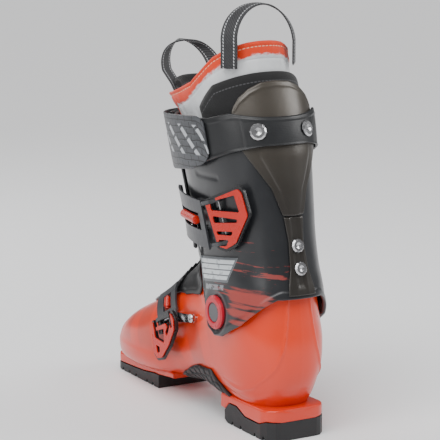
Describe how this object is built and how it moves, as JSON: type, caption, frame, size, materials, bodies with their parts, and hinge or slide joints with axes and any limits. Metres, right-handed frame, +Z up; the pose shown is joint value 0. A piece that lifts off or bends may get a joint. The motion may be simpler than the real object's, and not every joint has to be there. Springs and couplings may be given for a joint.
{
  "type": "alpine ski boot",
  "caption": "Left alpine ski boot with a hinged cuff, lever buckles with toothed catches, power strap, padded inner boot and lugged sole.",
  "frame": {"origin": "centre of the heel pad's walking face", "axes": "+Z up, toe towards -Y, +X towards the outer side with the buckles (left boot)"},
  "size_m": [0.1301, 0.3235, 0.4088],
  "materials": {
    "shell": "moulded polyurethane, satin gloss",
    "cuff": "translucent dark plastic with a printed pattern",
    "spine": "bronze-grey satin",
    "sole": "matt ribbed rubber",
    "soft_plastic": "soft matt black",
    "buckle_dark": "satin black",
    "buckle_grey": "dark anodised",
    "buckle_red": "satin red",
    "ring": "pink-red gloss",
    "cap": "grey satin",
    "steel": "polished",
    "liner_fabric": "light woven fabric with an orange band",
    "padding": "black padded fabric",
    "webbing": "woven webbing",
    "strap_print": "moulded pad with a plain geometric print",
    "foam": "matt foam"
  },
  "bodies": {
    "shell": {"arch_sole_pad": "sole", "boot_board": "foam", "footbed": "padding", "heel_sole_pad": "sole", "inner_pivot_ring": "ring", "instep_cover": "soft_plastic", "ladder_rivet": "steel", "liner_foot": "foam", "lower_arm_rivet": "steel", "lower_ladder": "soft_plastic", "lower_shell": "shell", "outer_pivot_ring": "ring", "pivot_nut_1": "steel", "pivot_nut_2": "steel", "pivot_screw_1": "cap", "pivot_screw_2": "cap", "sole_screw_1": "steel", "sole_screw_2": "steel", "sole_screw_3": "steel", "sole_screw_4": "steel", "sole_screw_5": "steel", "sole_screw_6": "steel", "sole_screw_7": "steel", "sole_screw_8": "steel", "toe_sole_pad": "sole"},
    "cuff": {"collar_padding": "padding", "cuff": "cuff", "liner_collar": "liner_fabric", "liner_tongue": "padding", "power_strap": "webbing", "rack_rivet_1": "steel", "rack_rivet_2": "steel", "rear_pull_loop": "webbing", "rear_spoiler": "spine", "rear_strut": "spine", "spine_screw_1": "steel", "spine_screw_2": "steel", "strap_pad": "strap_print", "strap_rivet_1": "steel", "strap_rivet_2": "steel", "tongue_pull_loop": "webbing", "upper_base": "buckle_grey", "upper_base_rivet_1": "steel", "upper_base_rivet_2": "steel", "upper_hinge_pin": "steel", "upper_rack": "soft_plastic"},
    "lower_arm": {"lower_arm": "steel", "lower_hinge_pin": "steel"},
    "lower_lever": {"lower_bail_pin": "steel", "lower_lever": "buckle_dark", "lower_lever_face": "buckle_red"},
    "lower_bail": {"lower_bail": "buckle_grey"},
    "lower_adjuster": {"lower_adjuster": "buckle_red"},
    "upper_lever": {"upper_bail_pin": "steel", "upper_lever": "buckle_dark", "upper_lever_face": "buckle_red"},
    "upper_bail": {"upper_bail": "buckle_grey"},
    "upper_adjuster": {"upper_adjuster": "buckle_red"}
  },
  "joints": [
    {"name": "cuff_flex", "type": "hinge", "parent": "shell", "child": "cuff", "pos_m": [0, -0.034, 0.115], "axis": [1, 0, 0], "range_deg": [0, 8], "stiffness_Nm_per_rad": 60},
    {"name": "lower_arm_swivel", "type": "hinge", "parent": "shell", "child": "lower_arm", "pos_m": [0.04752, -0.08808, 0.09678], "axis": [0.9982, -0.0179, 0.0569], "range_deg": [-6, 0]},
    {"name": "lower_lever_hinge", "type": "hinge", "parent": "lower_arm", "child": "lower_lever", "pos_m": [0.05077, -0.13135, 0.08744], "axis": [0.0301, -0.8992, -0.4365], "range_deg": [0, 60]},
    {"name": "lower_bail_hinge", "type": "hinge", "parent": "lower_lever", "child": "lower_bail", "pos_m": [0.05237, -0.12696, 0.0785], "axis": [0.0301, -0.8992, -0.4365], "range_deg": [-60, 0]},
    {"name": "lower_adjuster_turn", "type": "hinge", "parent": "lower_bail", "child": "lower_adjuster", "pos_m": [0.04775, -0.13694, 0.10306], "axis": [-0.2888, -0.4113, 0.8646], "continuous": true},
    {"name": "upper_lever_hinge", "type": "hinge", "parent": "cuff", "child": "upper_lever", "pos_m": [0.05241, -0.03125, 0.20319], "axis": [-0.1069, 0.2677, -0.9575], "range_deg": [0, 62]},
    {"name": "upper_bail_hinge", "type": "hinge", "parent": "upper_lever", "child": "upper_bail", "pos_m": [0.05028, -0.01983, 0.20662], "axis": [-0.1069, 0.2677, -0.9575], "range_deg": [-62, 0]},
    {"name": "upper_adjuster_turn", "type": "hinge", "parent": "upper_bail", "child": "upper_adjuster", "pos_m": [0.05377, -0.07805, 0.20151], "axis": [-0.1852, -0.9827, 0.0004], "continuous": true}
  ],
  "couplings": [
    {"joint": "lower_bail_hinge", "follows": "lower_lever_hinge", "ratio": -1},
    {"joint": "upper_bail_hinge", "follows": "upper_lever_hinge", "ratio": -1}
  ]
}
